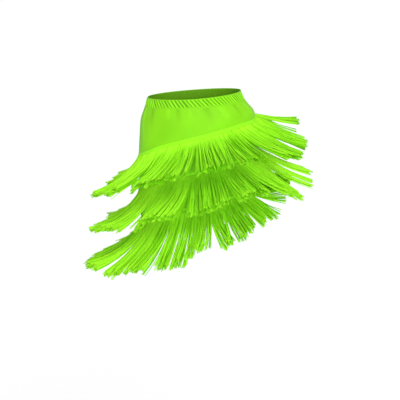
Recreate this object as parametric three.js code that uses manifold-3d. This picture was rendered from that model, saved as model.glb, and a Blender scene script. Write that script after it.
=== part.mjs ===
// A dance skirt: a stretch tube with a gathered elastic waistband and three slanted tiers of flung fringe.
// Millimetres. +Z runs up the waist, -Y is the front and +X is the wearer's left.
// The origin is the middle of the waist opening, at half the height of the waistband.
import * as THREE from "three";
import { mergeVertices } from "three/addons/utils/BufferGeometryUtils.js";
import Module from "manifold-3d";

const wasm = await Module();
wasm.setup();

// Driving dimensions of the cloth
const CLOTH_WALL = 1.8;
const SEAM_GAP = 0.3;
const BAND_HEIGHT = 25;
const BAND_WALL = 2.4;
const LOW_EDGE_RISE = 1.2;
const GATHERS = 76;
const GATHER_DEPTH = 1.9;
const GATHER_SLANT = 19;
const GATHER_MARGIN = 3.5;
const GATHER_UNEVEN = 0.22;
const RIM_GATHER = 0.25;
const LOW_GATHER = 0.35;
const PANEL_COLUMNS = 30;
const UPPER_ROWS = [0, 0.2, 0.45, 0.72];

// Driving dimensions of the fringe trims
const TIERS = [0, 1, 2];
const ROW_DROP = 94;
const TAPE_HEIGHT = 13;
const TAPE_WALL = 2;
const TAPE_TOP = 0.7;
const ROOT_HEIGHT = 3.2;
const LOCKS = 78;
const LOCK_STEPS = 5;
const PATH_STEPS = 10;
const FLARE_BEND = 0.7;
const SHIFT_SPREAD = 0.12;
const LIFT_SPREAD = 1.5;
const LENGTH_SPREAD = 0.03;
const LOCK_INNER = 0.4;
const LOCK_WIDTHS = table(["along", "width", "depth"], [
  [0, 6, 1.2],
  [0.2, 8.2, 3.2],
  [0.7, 8.8, 3.4],
  [1, 7, 2.6],
]);

const LIME = 0x90ec21;
const LIME_BAND = 0x8ae024;
const LIME_FRINGE = 0x81db1c;

// Body sections: outer face of the cloth at each height, half sizes to the side, front and back
const BODY = table(["z", "side", "front", "back", "sway"], [
  [-380, 176, 110, 125, 3],
  [-300, 175, 109, 126, 3],
  [-200, 172, 108, 127, 3],
  [-145, 169, 107, 126, 3],
  [-90, 163.5, 104, 121, 4],
  [-45, 158.5, 100, 112, 6],
  [-12.5, 140.5, 94, 101, 1],
  [12.5, 132, 92, 98, 0],
]);

// Rise of the waistband's rim by degrees round the waist: 0 is +X, 90 is the back, 270 is the front
const RIM = table(["at", "rise"], [
  [0, 4.3],
  [45, 3.4],
  [90, 1.4],
  [135, 0.6],
  [180, 0.4],
  [225, -1.6],
  [270, -2.3],
  [315, 0.4],
]);

// Upper edge of the top trim, by the same degrees
const SEAM = table(["at", "z"], [
  [0, -50],
  [35, -43],
  [60, -57],
  [90, -86],
  [135, -124],
  [180, -143],
  [205, -134],
  [232, -112],
  [270, -89],
  [315, -67],
  [343, -61],
]);

// Swing of each tier: degrees out from straight down at root and tip, sideways sweep, strand length
const SWING_COLUMNS = ["at", "root", "tip", "sweep", "length"];
const SWINGS = [
  table(SWING_COLUMNS, [
    [0, 51, 68, 8, 162],
    [8.5, 50, 68, 10, 160],
    [10.5, 58, 72, 10, 168],
    [15, 65, 77, 10, 174],
    [22, 68, 80, 10, 180],
    [40, 65, 77, 8, 178],
    [70, 58, 76, 0, 178],
    [95, 50, 74, 0, 178],
    [135, 32, 70, 0, 176],
    [160, 25, 70, 0, 178],
    [180, 26, 72, -2, 176],
    [204, 36, 75, -12, 180],
    [216, 40, 75, -12, 181],
    [225, 42, 74, -4, 180],
    [232, 49, 74, -16, 182],
    [240, 60, 75, -24, 184],
    [250, 63, 76, -19, 186],
    [258, 66, 77, -11, 186],
    [264, 68, 77, -2, 186],
    [270, 70, 77, -4, 182],
    [280, 70, 77, 0, 178],
    [291, 68, 77, 0, 182],
    [303, 66, 77, 0, 186],
    [322, 60, 79, 6, 210],
    [331, 58, 78, 6, 208],
    [336, 56, 75, 3, 178],
    [344, 53, 71, 2, 162],
  ]),
  table(SWING_COLUMNS, [
    [0, 47, 71, 6, 176],
    [20, 48, 67, 10, 182],
    [45, 50, 68, 10, 182],
    [70, 50, 74, 0, 182],
    [95, 46, 72, 0, 182],
    [135, 28, 68, 0, 184],
    [160, 17, 74, 0, 188],
    [180, 13, 84, 2, 193],
    [204, 26, 83, -8, 194],
    [216, 33, 77, -6, 190],
    [225, 37, 73, 2, 186],
    [232, 44, 72, -12, 188],
    [240, 56, 74, -18, 190],
    [250, 63, 76, -15, 188],
    [260, 65, 73, -8, 186],
    [270, 66, 74, -2, 185],
    [280, 69, 77, 0, 184],
    [290, 71, 80, 0, 183],
    [300, 71, 80, -2, 182],
    [310, 64, 79, 0, 193],
    [320, 57, 77, 2, 204],
    [332, 48, 76, 2, 202],
    [337, 47, 75, 2, 188],
    [346, 47, 74, 0, 174],
  ]),
  table(SWING_COLUMNS, [
    [0, 86, 100, 92, 124],
    [20, 74, 90, 87, 144],
    [45, 61, 82, 70, 160],
    [75, 48, 76, 56, 176],
    [110, 38, 72, 28, 188],
    [145, 28, 70, 8, 196],
    [165, 23, 74, 0, 206],
    [180, 21, 80, 0, 212],
    [198, 27, 78, -6, 211],
    [207, 31, 75, 4, 211],
    [213, 35, 72, -20, 212],
    [235, 46, 67, -12, 210],
    [258, 52, 66, -10, 208],
    [268, 56, 68, -10, 190],
    [274, 58, 70, -8, 174],
    [278, 60, 72, 10, 184],
    [284, 63, 75, 4, 187],
    [290, 65, 77, -2, 190],
    [302, 68, 80, -4, 166],
    [308, 67, 82, -8, 156],
    [314, 65, 82, -12, 148],
    [320, 64, 81, -8, 146],
    [323, 84, 102, 60, 104],
    [333, 90, 107, 84, 102],
    [345, 90, 106, 90, 112],
  ]),
];

// Where each tier parts into flung bunches, how far each one draws together, and how much higher it flies
const PARTING_COLUMNS = ["at", "draw", "lift"];
const PARTINGS = [
  table(PARTING_COLUMNS, [
    [10, 1.8, 2],
    [32, 1.1, -1],
    [60, 1.3, 2],
    [95, 1, -1],
    [130, 1.3, 2],
    [165, 1.0, 0],
    [229, 0.6, -1],
    [267, 0.5, 0],
    [292, 0.7, 2],
    [309, 1.9, 0],
    [336, 2.2, -1],
  ]),
  table(PARTING_COLUMNS, [
    [32, 1.2, -1],
    [62, 1.1, 2],
    [95, 1.3, -2],
    [130, 1.1, 1],
    [165, 1.0, 0],
    [228, 0.7, -1],
    [262, 0.6, 0],
    [288, 0.6, 1],
    [310, 2.0, -3],
    [338, 2.4, 2],
    [353, 1.8, 0],
  ]),
  table(PARTING_COLUMNS, [
    [20, 0.1, 1],
    [50, 0.1, -1],
    [85, 0.3, 1],
    [120, 0.9, -1],
    [155, 1.35, 1],
    [210, 0.6, -2],
    [243, 0.55, 0],
    [276, 1.5, 0],
    [287, 1.1, 2],
    [303, 1.4, -1],
    [314, 1.5, 0],
    [321, 0.1, 0],
  ]),
];

function table(names, rows) {
  return rows.map((row) => Object.fromEntries(names.map((name, i) => [name, row[i]])));
}

// Value of one column at x along another, on a smooth curve through the rows
function smooth(rows, across, name, x) {
  const last = rows.length - 1;
  const place = Math.min(Math.max(x, rows[0][across]), rows[last][across]);
  let i = 0;
  while (i < last - 1 && rows[i + 1][across] <= place) {
    i += 1;
  }
  const slope = (k) => {
    const before = rows[Math.max(0, k - 1)];
    const after = rows[Math.min(last, k + 1)];
    return (after[name] - before[name]) / (after[across] - before[across]);
  };
  const step = rows[i + 1][across] - rows[i][across];
  const u = (place - rows[i][across]) / step;
  const start = (2 * u ** 3 - 3 * u ** 2 + 1) * rows[i][name];
  const end = (3 * u ** 2 - 2 * u ** 3) * rows[i + 1][name];
  const lean = (u ** 3 - 2 * u ** 2 + u) * slope(i) + (u ** 3 - u ** 2) * slope(i + 1);
  return start + end + step * lean;
}

// The same round the waist, where the last row leads back to the first
function around(rows, name, degrees) {
  const turned = ((degrees % 360) + 360) % 360;
  const before = rows.slice(-2).map((row) => ({ ...row, at: row.at - 360 }));
  const after = rows.slice(0, 2).map((row) => ({ ...row, at: row.at + 360 }));
  return smooth([...before, ...rows, ...after], "at", name, turned);
}

// A fixed uneven value from -1 to 1 for each count and kind
function uneven(count, kind) {
  const wave = Math.sin(count * 12.9898 + kind * 78.233) * 43758.5453;
  return 2 * (wave - Math.floor(wave)) - 1;
}

// Direction straight out of the body at an angle round it
function outAngle(turn, z) {
  const depth = smooth(BODY, "z", Math.sin(turn) > 0 ? "back" : "front", z);
  return Math.atan2(smooth(BODY, "z", "side", z) * Math.sin(turn), depth * Math.cos(turn));
}

// A point at an angle round the body and a height, moved out from the face of the cloth
function bodyPoint(turn, z, out) {
  const depth = smooth(BODY, "z", Math.sin(turn) > 0 ? "back" : "front", z);
  const x = smooth(BODY, "z", "sway", z) + smooth(BODY, "z", "side", z) * Math.cos(turn);
  const angle = outAngle(turn, z);
  return new THREE.Vector3(x + out * Math.cos(angle), depth * Math.sin(turn) + out * Math.sin(angle), z);
}

// Height of the band's rim, side 1, or of its lower edge, side -1
function bandEdge(turn, side) {
  const rim = () => around(RIM, "rise", THREE.MathUtils.radToDeg(turn));
  return side * BAND_HEIGHT / 2 + (side > 0 ? rim() : LOW_EDGE_RISE * Math.cos(2 * turn));
}

// Height on a trim: the tier from 0 down, and the distance below its upper edge
function trimHeight(turn, tier, below) {
  return around(SEAM, "z", THREE.MathUtils.radToDeg(turn)) - tier * ROW_DROP - below;
}

// A closed body through sections, each a loop of the same count of points
function loft(sections, closed) {
  const count = sections[0].length;
  const index = [];
  const quad = (a, b, c, d) => index.push(a, b, c, a, c, d);
  const spans = closed ? sections.length : sections.length - 1;
  for (let i = 0; i < spans; i += 1) {
    const here = i * count;
    const next = ((i + 1) % sections.length) * count;
    for (let k = 0; k < count; k += 1) {
      const up = (k + 1) % count;
      quad(here + k, next + k, next + up, here + up);
    }
  }
  if (!closed) {
    cap(index, 0, count, false);
    cap(index, spans * count, count, true);
  }
  const geometry = new THREE.BufferGeometry();
  const points = sections.flat().flatMap((point) => point.toArray());
  geometry.setAttribute("position", new THREE.Float32BufferAttribute(points, 3));
  geometry.setIndex(index);
  return faceOut(geometry);
}

// Fills one loop as a ladder between its two sides
function cap(index, first, count, turned) {
  const face = (a, b, c) => index.push(first + a, first + (turned ? c : b), first + (turned ? b : c));
  for (let low = 0, high = count - 1; high - low > 1; low += 1, high -= 1) {
    face(low, low + 1, high);
    if (high - 1 > low + 1) {
      face(low + 1, high - 1, high);
    }
  }
}

// Turns all faces over if the body's volume comes out negative
function faceOut(geometry) {
  const points = geometry.getAttribute("position");
  const corners = geometry.getIndex().array;
  const [a, b, c] = [0, 1, 2].map(() => new THREE.Vector3());
  let volume = 0;
  for (let i = 0; i < corners.length; i += 3) {
    a.fromBufferAttribute(points, corners[i]);
    b.fromBufferAttribute(points, corners[i + 1]);
    c.fromBufferAttribute(points, corners[i + 2]);
    volume += a.dot(b.cross(c));
  }
  if (volume < 0) {
    corners.forEach((value, i) => {
      if (i % 3 === 1) {
        corners[i] = corners[i + 1];
        corners[i + 1] = value;
      }
    });
  }
  return geometry;
}

function toManifold(geometry) {
  const merged = mergeVertices(geometry);
  return new wasm.Manifold(new wasm.Mesh({
    numProp: 3,
    vertProperties: merged.getAttribute("position").array,
    triVerts: new Uint32Array(merged.getIndex().array),
  }));
}

function fuse(geometries) {
  const [first, ...others] = geometries.map(toManifold);
  const mesh = others.reduce((body, piece) => body.add(piece), first).getMesh();
  const geometry = new THREE.BufferGeometry();
  geometry.setAttribute("position", new THREE.Float32BufferAttribute(mesh.vertProperties, 3));
  geometry.setIndex(Array.from(mesh.triVerts));
  return geometry;
}

function pieceMesh(name, geometry, color, roughness) {
  geometry.computeVertexNormals();
  const material = new THREE.MeshStandardMaterial({ color, roughness, metalness: 0 });
  const mesh = new THREE.Mesh(geometry, material);
  mesh.name = name;
  return mesh;
}

// Waistband: a ring whose outer face rises and falls in slanting gathers over a plain inside
function waistband() {
  const sections = [];
  const middle = -GATHER_DEPTH / 2;
  for (let i = 0; i < 2 * GATHERS; i += 1) {
    const shift = GATHER_UNEVEN * uneven(i, 1);
    const turn = 2 * Math.PI * (i + shift) / (2 * GATHERS);
    const side = i % 2 === 0 ? 1 : -1;
    const depth = side * GATHER_DEPTH / 2 * (1 - GATHER_UNEVEN + GATHER_UNEVEN * uneven(i, 2));
    const radius = smooth(BODY, "z", "side", 0);
    const at = (height, out) => {
      const leaned = turn - GATHER_SLANT / radius * height / BAND_HEIGHT;
      const top = bandEdge(leaned, 1);
      const bottom = bandEdge(leaned, -1);
      const z = bottom + (top - bottom) * (height / BAND_HEIGHT + 0.5);
      return bodyPoint(leaned, z, out);
    };
    const edge = BAND_HEIGHT / 2;
    const inner = edge - GATHER_MARGIN;
    sections.push([
      at(edge, middle + depth * RIM_GATHER),
      at(inner, middle + depth),
      at(-inner, middle + depth),
      at(-edge, middle + depth * LOW_GATHER),
      at(-edge, -BAND_WALL),
      at(edge, -BAND_WALL),
    ]);
  }
  return loft(sections, true);
}

// Rows of a panel from its top edge to its hem: the trims' edges, with three rows above them
function panelHeights(turn) {
  const top = bandEdge(turn, -1) - SEAM_GAP;
  const seam = trimHeight(turn, 0, 0);
  const upper = UPPER_ROWS.map((share) => top + (seam - top) * share);
  const edges = TIERS.flatMap((tier) => [0, TAPE_HEIGHT].map((below) => trimHeight(turn, tier, below)));
  return [...upper, ...edges];
}

// The trims follow the panels' columns, so that tape and panel stay the same distance apart
function columnTurn(column) {
  return Math.PI * column / PANEL_COLUMNS;
}

// One half of the tube, from one side seam round to the other
function panel(firstColumn) {
  const sections = [];
  for (let i = 0; i <= PANEL_COLUMNS; i += 1) {
    const inset = i === 0 ? 1 : i === PANEL_COLUMNS ? -1 : 0;
    const turn = columnTurn(firstColumn + i);
    const heights = panelHeights(turn);
    const shift = inset * SEAM_GAP / 2 / smooth(BODY, "z", "front", -100);
    const outer = heights.map((z) => bodyPoint(turn + shift, z, 0));
    const inner = heights.map((z) => bodyPoint(turn + shift, z, -CLOTH_WALL));
    sections.push([...outer, ...inner.reverse()]);
  }
  return loft(sections, false);
}

// Header tape of one trim, moved out from the panels' points
function tape(tier) {
  const sections = [];
  for (let i = 0; i < 2 * PANEL_COLUMNS; i += 1) {
    const turn = columnTurn(i);
    const at = (below, out) => bodyPoint(turn, trimHeight(turn, tier, below), out);
    sections.push([
      at(0, SEAM_GAP + TAPE_WALL * TAPE_TOP),
      at(TAPE_HEIGHT, SEAM_GAP + TAPE_WALL),
      at(TAPE_HEIGHT, SEAM_GAP),
      at(0, SEAM_GAP),
    ]);
  }
  return loft(sections, true);
}

// Angles round the body at equal steps along the tape
function lockTurns(tier) {
  const samples = 720;
  const lengths = [0];
  let before = bodyPoint(0, trimHeight(0, tier, TAPE_HEIGHT), 0);
  for (let i = 1; i <= samples; i += 1) {
    const turn = 2 * Math.PI * i / samples;
    const point = bodyPoint(turn, trimHeight(turn, tier, TAPE_HEIGHT), 0);
    lengths.push(lengths[i - 1] + point.distanceTo(before));
    before = point;
  }
  const turns = [];
  for (let i = 0; i < LOCKS; i += 1) {
    const goal = lengths[samples] * (i + 0.5 + SHIFT_SPREAD * uneven(i, tier + 3)) / LOCKS;
    const after = lengths.findIndex((length) => length > goal);
    const share = (goal - lengths[after - 1]) / (lengths[after] - lengths[after - 1]);
    turns.push(2 * Math.PI * (after - 1 + share) / samples);
  }
  return turns;
}

// A lock's root: inside the tape, on the straight run between two of its columns
function rootPoint(turn, tier) {
  const column = turn / columnTurn(1);
  const low = Math.floor(column);
  const [a, b] = [low, low + 1].map((i) => {
    const at = columnTurn(i);
    return bodyPoint(at, trimHeight(at, tier, TAPE_HEIGHT - ROOT_HEIGHT), SEAM_GAP + TAPE_WALL / 2);
  });
  return a.lerp(b, column - low);
}

// How far a lock leans sideways to the middle of its bunch and how much it is raised with it, in degrees
function bunchSwing(degrees, tier) {
  const rows = PARTINGS[tier];
  const found = rows.findLastIndex((row) => row.at <= degrees);
  const start = found < 0 ? { ...rows.at(-1), at: rows.at(-1).at - 360 } : rows[found];
  const end = found === rows.length - 1 ? rows[0].at + 360 : rows[found + 1].at;
  return { lean: ((start.at + end) / 2 - degrees) * start.draw, lift: start.lift };
}

// One lock of fringe: a three-sided taper that leaves the tape and swings out
function lock(turn, tier, count) {
  const degrees = THREE.MathUtils.radToDeg(turn);
  const swing = (name) => around(SWINGS[tier], name, degrees);
  const point = rootPoint(turn, tier);
  const straightOut = outAngle(turn, point.z);
  const bunch = bunchSwing(degrees, tier);
  const lift = bunch.lift + LIFT_SPREAD * uneven(count, tier + 10);
  const root = THREE.MathUtils.degToRad(swing("root"));
  const tip = THREE.MathUtils.degToRad(swing("tip") + lift);
  const side = THREE.MathUtils.degToRad(swing("sweep") + bunch.lean);
  const length = swing("length") * (1 + LENGTH_SPREAD * uneven(count, tier + 20));
  const flareAt = (along) => root + (tip - root) * along ** FLARE_BEND;
  const sections = [];
  for (let i = 0; i <= PATH_STEPS; i += 1) {
    const along = i / PATH_STEPS;
    const flare = flareAt(along);
    const angle = straightOut + side * along;
    if (i % (PATH_STEPS / LOCK_STEPS) === 0) {
      sections.push(lockSection(point, flare, angle, along));
    }
    const ahead = Math.min(along + 0.5 / PATH_STEPS, 1);
    const run = length / PATH_STEPS;
    point.x += run * Math.sin(flareAt(ahead)) * Math.cos(straightOut + side * ahead);
    point.y += run * Math.sin(flareAt(ahead)) * Math.sin(straightOut + side * ahead);
    point.z -= run * Math.cos(flareAt(ahead));
  }
  return loft(sections, false);
}

// Three corners across a lock: two on the body side and a ridge on the outside
function lockSection(point, flare, angle, along) {
  const width = smooth(LOCK_WIDTHS, "along", "width", along);
  const depth = smooth(LOCK_WIDTHS, "along", "depth", along);
  const across = new THREE.Vector3(-Math.sin(angle), Math.cos(angle), 0);
  const out = new THREE.Vector3(
    Math.cos(flare) * Math.cos(angle),
    Math.cos(flare) * Math.sin(angle),
    Math.sin(flare),
  );
  const corner = (side, rise) => {
    return point.clone().addScaledVector(across, side * width).addScaledVector(out, rise * depth);
  };
  return [corner(-0.5, -LOCK_INNER), corner(0.5, -LOCK_INNER), corner(0, 1 - LOCK_INNER)];
}

function fringeTier(tier) {
  const locks = lockTurns(tier).map((turn, count) => lock(turn, tier, count));
  return fuse([tape(tier), ...locks]);
}

const skirt = new THREE.Group();
skirt.add(pieceMesh("waistband", waistband(), LIME_BAND, 0.7));
skirt.add(pieceMesh("back_panel", panel(0), LIME, 0.65));
skirt.add(pieceMesh("front_panel", panel(PANEL_COLUMNS), LIME, 0.65));
TIERS.forEach((tier) => {
  skirt.add(pieceMesh(`fringe_tier_${tier + 1}`, fringeTier(tier), LIME_FRINGE, 0.6));
});

export default skirt;
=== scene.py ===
import math

import bpy
import numpy as np
from mathutils import Matrix, Vector


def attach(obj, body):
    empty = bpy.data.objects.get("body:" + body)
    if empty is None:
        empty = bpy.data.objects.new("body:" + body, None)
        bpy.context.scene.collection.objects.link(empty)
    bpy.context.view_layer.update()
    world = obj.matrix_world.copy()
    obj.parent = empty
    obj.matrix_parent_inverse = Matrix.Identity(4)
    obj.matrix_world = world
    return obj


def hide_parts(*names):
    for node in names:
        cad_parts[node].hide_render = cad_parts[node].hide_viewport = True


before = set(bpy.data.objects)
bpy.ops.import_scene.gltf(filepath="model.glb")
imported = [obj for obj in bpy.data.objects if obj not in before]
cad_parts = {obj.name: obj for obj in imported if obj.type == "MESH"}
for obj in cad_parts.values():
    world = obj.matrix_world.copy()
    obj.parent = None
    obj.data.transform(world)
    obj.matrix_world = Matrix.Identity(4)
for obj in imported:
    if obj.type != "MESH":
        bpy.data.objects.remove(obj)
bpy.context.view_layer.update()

# Sizes are in millimetres and degrees, as on a pattern sheet, and MM turns them into metres.
# Angles round the body are in degrees in the tables and in radians, as turns, in the functions.
MM = 0.001
FULL_TURN = 2 * math.pi

# Cloth
CLOTH_WALL = 1.2
BAND_HEIGHT = 25.0
BAND_WALL = 2.4
LOW_EDGE_RISE = 1.2
SEAM_GAP = 0.3
GATHERS = 76
GATHER_DEPTH = 3.0
GATHER_SLANT = 19.0

# Fringe trims
TIERS = 3
ROW_DROP = 94.0
TAPE_HEIGHT = 13.0
TAPE_WALL = 2.0
ROOT_HEIGHT = 3.2
STRANDS = 3400
STRANDS_A_TUFT = 4
STRAND_RADIUS = 0.98
STRAND_SIDES = 3
LOCKS = 176
LOCKS_A_GROUP = 5

# Places of a strand's points, as shares of its length
KNOTS = np.array((0, 0.025, 0.08, 0.19, 0.33, 0.48, 0.64, 0.81, 0.975, 1.0))

# By tier: how far locks draw together, the share of strands that lie under the others, the painted
# light that makes the tier lighter than the rest, and more painted light at the wearer's left,
# painted shade where negative
LOCK_PULL = (0.5, 0.5, 0.26)
UNDER_SHARE = (0.38, 0.38, 0.5)
TIER_PAINTED_LIGHT = (-0.04, 0.26, 0.14)
LEFT_SIDE_PAINTED_LIGHT = (-0.4, 0.14, 0.1)


def table(names, rows):
    return {name: np.array([row[i] for row in rows], float) for i, name in enumerate(names)}


# Body sections: outer face of the cloth at each height, half sizes to the side, front and back
BODY = table(("z", "side", "front", "back", "sway"), (
    (-380, 176, 110, 125, 3),
    (-300, 175, 109, 126, 3),
    (-200, 172, 108, 127, 3),
    (-145, 169, 107, 126, 3),
    (-90, 163.5, 104, 121, 4),
    (-45, 158.5, 100, 112, 6),
    (-12.5, 140.5, 94, 101, 1),
    (12.5, 132, 92, 98, 0),
))
WAIST_RADIUS = BODY["side"][-1]

# Rise of the waistband's rim by degrees round the waist: 0 is +X, 90 is the back, 270 is the front
RIM = table(("at", "rise"), (
    (0, 4.3),
    (45, 3.4),
    (90, 1.4),
    (135, 0.6),
    (180, 0.4),
    (225, -1.6),
    (270, -2.3),
    (315, 0.4),
))

# Upper edge of the top trim, by the same degrees
SEAM = table(("at", "z"), (
    (0, -50),
    (35, -43),
    (60, -57),
    (90, -86),
    (135, -124),
    (180, -143),
    (205, -134),
    (232, -112),
    (270, -89),
    (315, -67),
    (343, -61),
))

# Swing of each tier: degrees out from straight down at root and tip, sideways sweep, strand length
SWING_COLUMNS = ("at", "root", "tip", "sweep", "length")
SWINGS = (
    table(SWING_COLUMNS, (
        (0, 51, 68, 8, 162),
        (8.5, 50, 68, 10, 160),
        (10.5, 58, 72, 10, 168),
        (15, 65, 77, 10, 174),
        (22, 68, 80, 10, 180),
        (40, 65, 77, 8, 178),
        (70, 58, 76, 0, 178),
        (95, 50, 74, 0, 178),
        (135, 32, 70, 0, 176),
        (160, 25, 70, 0, 178),
        (180, 26, 72, -2, 176),
        (204, 36, 75, -12, 180),
        (216, 40, 75, -12, 181),
        (225, 42, 74, -4, 180),
        (232, 49, 74, -16, 182),
        (240, 60, 75, -24, 184),
        (250, 63, 76, -19, 186),
        (258, 66, 77, -11, 186),
        (264, 68, 77, -2, 186),
        (270, 70, 77, -4, 182),
        (280, 70, 77, 0, 178),
        (291, 68, 77, 0, 182),
        (303, 66, 77, 0, 186),
        (322, 60, 79, 6, 210),
        (331, 58, 78, 6, 208),
        (336, 56, 75, 3, 178),
        (344, 53, 71, 2, 162),
    )),
    table(SWING_COLUMNS, (
        (0, 47, 71, 6, 176),
        (20, 48, 67, 10, 182),
        (45, 50, 68, 10, 182),
        (70, 50, 74, 0, 182),
        (95, 46, 72, 0, 182),
        (135, 28, 68, 0, 184),
        (160, 17, 74, 0, 188),
        (180, 13, 84, 2, 193),
        (204, 26, 83, -8, 194),
        (216, 33, 77, -6, 190),
        (225, 37, 73, 2, 186),
        (232, 44, 72, -12, 188),
        (240, 56, 74, -18, 190),
        (250, 63, 76, -15, 188),
        (260, 65, 73, -8, 186),
        (270, 66, 74, -2, 185),
        (280, 69, 77, 0, 184),
        (290, 71, 80, 0, 183),
        (300, 71, 80, -2, 182),
        (310, 64, 79, 0, 193),
        (320, 57, 77, 2, 204),
        (332, 48, 76, 2, 202),
        (337, 47, 75, 2, 188),
        (346, 47, 74, 0, 174),
    )),
    table(SWING_COLUMNS, (
        (0, 86, 100, 92, 124),
        (20, 74, 90, 87, 144),
        (45, 61, 82, 70, 160),
        (75, 48, 76, 56, 176),
        (110, 38, 72, 28, 188),
        (145, 28, 70, 8, 196),
        (165, 23, 74, 0, 206),
        (180, 21, 80, 0, 212),
        (198, 27, 78, -6, 211),
        (207, 31, 75, 4, 211),
        (213, 35, 72, -20, 212),
        (235, 46, 67, -12, 210),
        (258, 52, 66, -10, 208),
        (268, 56, 68, -10, 190),
        (274, 58, 70, -8, 174),
        (278, 60, 72, 10, 184),
        (284, 63, 75, 4, 187),
        (290, 65, 77, -2, 190),
        (302, 68, 80, -4, 166),
        (308, 67, 82, -8, 156),
        (314, 65, 82, -12, 148),
        (320, 64, 81, -8, 146),
        (323, 84, 102, 60, 104),
        (333, 90, 107, 84, 102),
        (345, 90, 106, 90, 112),
    )),
)

# Where each tier parts into flung bunches: how far each bunch that starts there draws together, and its lift
PARTING_COLUMNS = ("at", "draw", "lift")
PARTINGS = (
    table(PARTING_COLUMNS, (
        (10, 1.8, 2),
        (32, 1.1, -1),
        (60, 1.3, 2),
        (95, 1, -1),
        (130, 1.3, 2),
        (165, 1.0, 0),
        (229, 0.6, -1),
        (267, 0.5, 0),
        (292, 0.7, 2),
        (309, 1.9, 0),
        (336, 2.2, -1),
    )),
    table(PARTING_COLUMNS, (
        (32, 1.2, -1),
        (62, 1.1, 2),
        (95, 1.3, -2),
        (130, 1.1, 1),
        (165, 1.0, 0),
        (228, 0.7, -1),
        (262, 0.6, 0),
        (288, 0.6, 1),
        (310, 2.0, -3),
        (338, 2.4, 2),
        (353, 1.8, 0),
    )),
    table(PARTING_COLUMNS, (
        (20, 0.1, 1),
        (50, 0.1, -1),
        (85, 0.3, 1),
        (120, 0.9, -1),
        (155, 1.35, 1),
        (210, 0.6, -2),
        (243, 0.55, 0),
        (276, 1.5, 0),
        (287, 1.1, 2),
        (303, 1.4, -1),
        (314, 1.5, 0),
        (321, 0.1, 0),
    )),
)

# Soft creases of the cloth below the waistband: place, half width in degrees, reach down and depth
CREASES = table(("at", "width", "reach", "depth"), (
    (12, 2.6, 34, 1.0),
    (41, 3.4, 26, -0.9),
    (63, 2.4, 40, 1.1),
    (88, 4.0, 30, -0.8),
    (109, 2.8, 46, 1.0),
    (137, 3.6, 30, -0.9),
    (158, 2.4, 52, 1.2),
    (188, 3.0, 60, -1.0),
    (197, 2.0, 74, 1.3),
    (214, 3.2, 36, -0.9),
    (237, 2.2, 24, 1.0),
    (249, 3.0, 30, -0.8),
    (262, 2.0, 20, 0.8),
    (281, 4.0, 28, -0.8),
    (299, 3.2, 34, 1.0),
    (318, 2.6, 26, -0.9),
    (339, 2.4, 36, 1.1),
))


def slopes(xs, ys):
    """Slope of a smooth curve at each of its rows, from the rows beside it."""
    before = np.concatenate(([0], np.arange(len(xs) - 1)))
    after = np.concatenate((np.arange(1, len(xs)), [len(xs) - 1]))
    return (ys[after] - ys[before]) / (xs[after] - xs[before])


def smooth(rows, across, name, x):
    """One column at x along another, on a smooth curve through the rows."""
    xs, ys = rows[across], rows[name]
    x = np.clip(x, xs[0], xs[-1])
    i = np.clip(np.searchsorted(xs, x, side="right") - 1, 0, len(xs) - 2)
    step = xs[i + 1] - xs[i]
    u = (x - xs[i]) / step
    lean = slopes(xs, ys)
    start = (2 * u**3 - 3 * u**2 + 1) * ys[i]
    end = (3 * u**2 - 2 * u**3) * ys[i + 1]
    return start + end + step * ((u**3 - 2 * u**2 + u) * lean[i] + (u**3 - u**2) * lean[i + 1])


def wrap_round(values, count, full=0):
    """Values round the body, with the last few repeated before them and the first few after them."""
    return np.concatenate((values[-count:] - full, values, values[:count] + full))


def around(rows, name, degrees):
    """One column at an angle round the body, where the last row leads back to the first."""
    rows = {"at": wrap_round(rows["at"], 2, 360), name: wrap_round(rows[name], 2)}
    return smooth(rows, "at", name, np.mod(degrees, 360))


def soft_step(low, high, x):
    u = np.clip((x - low) / (high - low), 0, 1)
    return u * u * (3 - 2 * u)


def between(start, end, share):
    return start + (end - start) * share


def turns_round(count):
    """Even angles once round the body."""
    return FULL_TURN * np.arange(count) / count


def lengths_along(points):
    """Way from the first point to each along rows of points."""
    steps = np.linalg.norm(np.diff(points, axis=-2), axis=-1)
    return np.concatenate((np.zeros_like(steps[..., :1]), np.cumsum(steps, axis=-1)), -1)


def unit(vectors):
    return vectors / np.linalg.norm(vectors, axis=-1, keepdims=True)


# Factors that scatter the fixed uneven values
SCATTER_BY_COUNT = 12.9898
SCATTER_BY_KIND = 78.233
SCATTER = 43758.5453


def uneven(count, kind):
    """A fixed uneven value from -1 to 1 for each count and kind."""
    wave = np.sin(np.asarray(count, float) * SCATTER_BY_COUNT + kind * SCATTER_BY_KIND) * SCATTER
    return 2 * (wave - np.floor(wave)) - 1


def depth_at(turn, z):
    """Half size of the body section to the front or the back, whichever the angle looks to."""
    return np.where(np.sin(turn) > 0, smooth(BODY, "z", "back", z), smooth(BODY, "z", "front", z))


def out_angle(turn, z):
    """Heading straight out from the cloth."""
    side = smooth(BODY, "z", "side", z)
    return np.arctan2(side * np.sin(turn), depth_at(turn, z) * np.cos(turn))


def body_point(turn, z, out):
    """A point at an angle round the body and a height, moved out from the face of the cloth."""
    turn, z = np.broadcast_arrays(np.asarray(turn, float), np.asarray(z, float))
    angle = out_angle(turn, z)
    x = smooth(BODY, "z", "sway", z) + smooth(BODY, "z", "side", z) * np.cos(turn)
    y = depth_at(turn, z) * np.sin(turn)
    return np.stack((x + out * np.cos(angle), y + out * np.sin(angle), z), -1)


def band_edge(turn, side):
    """Height of the waistband's rim, side 1, or of its lower edge, side -1."""
    rise = around(RIM, "rise", np.degrees(turn)) if side > 0 else LOW_EDGE_RISE * np.cos(2 * turn)
    return side * BAND_HEIGHT / 2 + rise


def trim_height(turn, tier, below):
    """Height of a place on a tier's trim, so far below its upper edge."""
    return around(SEAM, "z", np.degrees(turn)) - tier * ROW_DROP - below


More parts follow.
